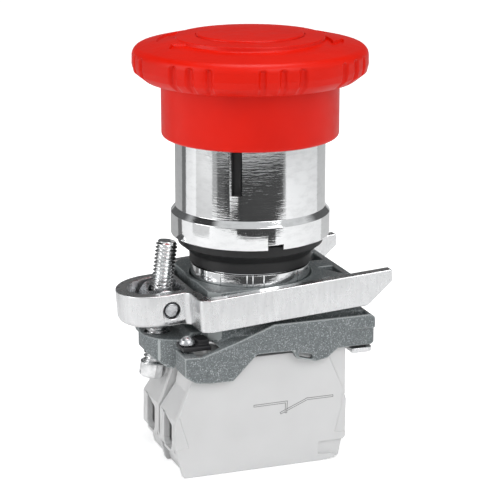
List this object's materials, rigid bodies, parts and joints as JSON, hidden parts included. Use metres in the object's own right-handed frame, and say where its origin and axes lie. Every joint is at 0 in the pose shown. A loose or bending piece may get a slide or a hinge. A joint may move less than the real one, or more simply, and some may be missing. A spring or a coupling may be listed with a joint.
{
  "type": "emergency stop button",
  "caption": "Turn-to-release mushroom push button on a round metal barrel, with a screw-clamped fixing collar and side-by-side contact blocks.",
  "frame": {"origin": "on the button's axis, in the plane of the flange's underside, which is the front face of the panel it is fitted to", "axes": "+Z out of the panel towards the mushroom; +X along the collar towards the tips of the clamp yoke's arms; -Y is the side with the near contact block"},
  "size_m": [0.0478, 0.0424, 0.0777],
  "materials": {
    "red_plastic": "signal red, satin moulded",
    "chromed_barrel": "turned and chrome plated",
    "bright_zinc": "bright plated die casting",
    "cast_zinc": "grey, shot-blasted zinc die casting",
    "steel": "zinc-plated steel",
    "spring_steel": "drawn spring wire",
    "brass": "stamped contact strip",
    "gasket_rubber": "matt black",
    "black_plastic": "matt black",
    "white_plastic": "natural acetal",
    "grey_plastic": "light grey, fine moulded texture"
  },
  "bodies": {
    "fixed": {"barrel": "chromed_barrel", "panel_gasket": "gasket_rubber", "cam_sleeve": "black_plastic", "retaining_ring": "steel", "return_spring": "spring_steel", "collar_body": "cast_zinc", "block_catch": "black_plastic", "catch_rivet": "steel", "fulcrum_pin_front": "steel", "fulcrum_pin_back": "steel", "housing_near": "grey_plastic", "cover_near": "grey_plastic", "plunger_spring_near": "spring_steel", "fixed_contact_near_left": "brass", "fixed_contact_near_right": "brass", "terminal_screw_near_left": "steel", "terminal_screw_near_right": "steel", "clamp_washer_near_left": "steel", "clamp_washer_near_right": "steel", "housing_far": "grey_plastic", "cover_far": "grey_plastic", "plunger_spring_far": "spring_steel", "fixed_contact_far_left": "brass", "fixed_contact_far_right": "brass", "terminal_screw_far_left": "steel", "terminal_screw_far_right": "steel", "clamp_washer_far_left": "steel", "clamp_washer_far_right": "steel"},
    "push_rod": {"spindle": "white_plastic", "latch_pin_left": "steel", "latch_pin_right": "steel", "latch_spring": "spring_steel", "contact_pusher": "black_plastic", "pusher_screw": "steel", "cap_washer": "steel", "cap_screw": "steel"},
    "mushroom": {"mushroom_cap": "red_plastic", "centre_disc": "red_plastic"},
    "near_plunger": {"plunger_near": "white_plastic", "contact_bridge_near": "brass", "contact_spring_near": "spring_steel"},
    "far_plunger": {"plunger_far": "white_plastic", "contact_bridge_far": "brass", "contact_spring_far": "spring_steel"},
    "lock_lever": {"lock_ring": "bright_zinc"},
    "yoke": {"clamp_yoke": "bright_zinc"},
    "nut": {"trunnion_nut": "steel"},
    "screw": {"clamp_screw": "steel"}
  },
  "joints": [
    {"name": "button_push", "type": "slide", "parent": "fixed", "child": "push_rod", "axis": [0, 0, -1], "range_m": [0, 0.0055], "stiffness_N_per_m": 900, "springref_m": -0.004, "deforming": ["return_spring"]},
    {"name": "button_turn", "type": "hinge", "parent": "push_rod", "child": "mushroom", "pos_m": [0, 0, 0.03], "axis": [0, 0, -1], "range_deg": [0, 45], "stiffness_Nm_per_rad": 0.05, "springref_deg": -11.46},
    {"name": "near_plunger_slide", "type": "slide", "parent": "fixed", "child": "near_plunger", "axis": [0, 0, -1], "range_m": [0, 0.00429], "deforming": ["plunger_spring_near"]},
    {"name": "far_plunger_slide", "type": "slide", "parent": "fixed", "child": "far_plunger", "axis": [0, 0, -1], "range_m": [0, 0.00429], "deforming": ["plunger_spring_far"]},
    {"name": "lock_lever_turn", "type": "hinge", "parent": "fixed", "child": "lock_lever", "pos_m": [0, 0, -0.018], "axis": [0, 0, 1], "range_deg": [0, 20]},
    {"name": "yoke_tilt", "type": "hinge", "parent": "fixed", "child": "yoke", "pos_m": [0.007, 0, -0.00978], "axis": [0, -1, 0], "range_deg": [-3, 4]},
    {"name": "nut_turn", "type": "hinge", "parent": "yoke", "child": "nut", "pos_m": [-0.01734, 0, -0.01144], "axis": [0, -1, 0], "range_deg": [-4, 3]},
    {"name": "screw_turn", "type": "hinge", "parent": "fixed", "child": "screw", "pos_m": [-0.01734, 0, -0.01144], "axis": [0.1245, 0, 0.9922], "range_deg": [-660, 880]}
  ],
  "couplings": [
    {"joint": "near_plunger_slide", "follows": "button_push", "ratio": 0.78},
    {"joint": "far_plunger_slide", "follows": "button_push", "ratio": 0.78},
    {"joint": "nut_turn", "follows": "yoke_tilt", "ratio": -1},
    {"joint": "screw_turn", "follows": "yoke_tilt", "ratio": 219.01}
  ]
}
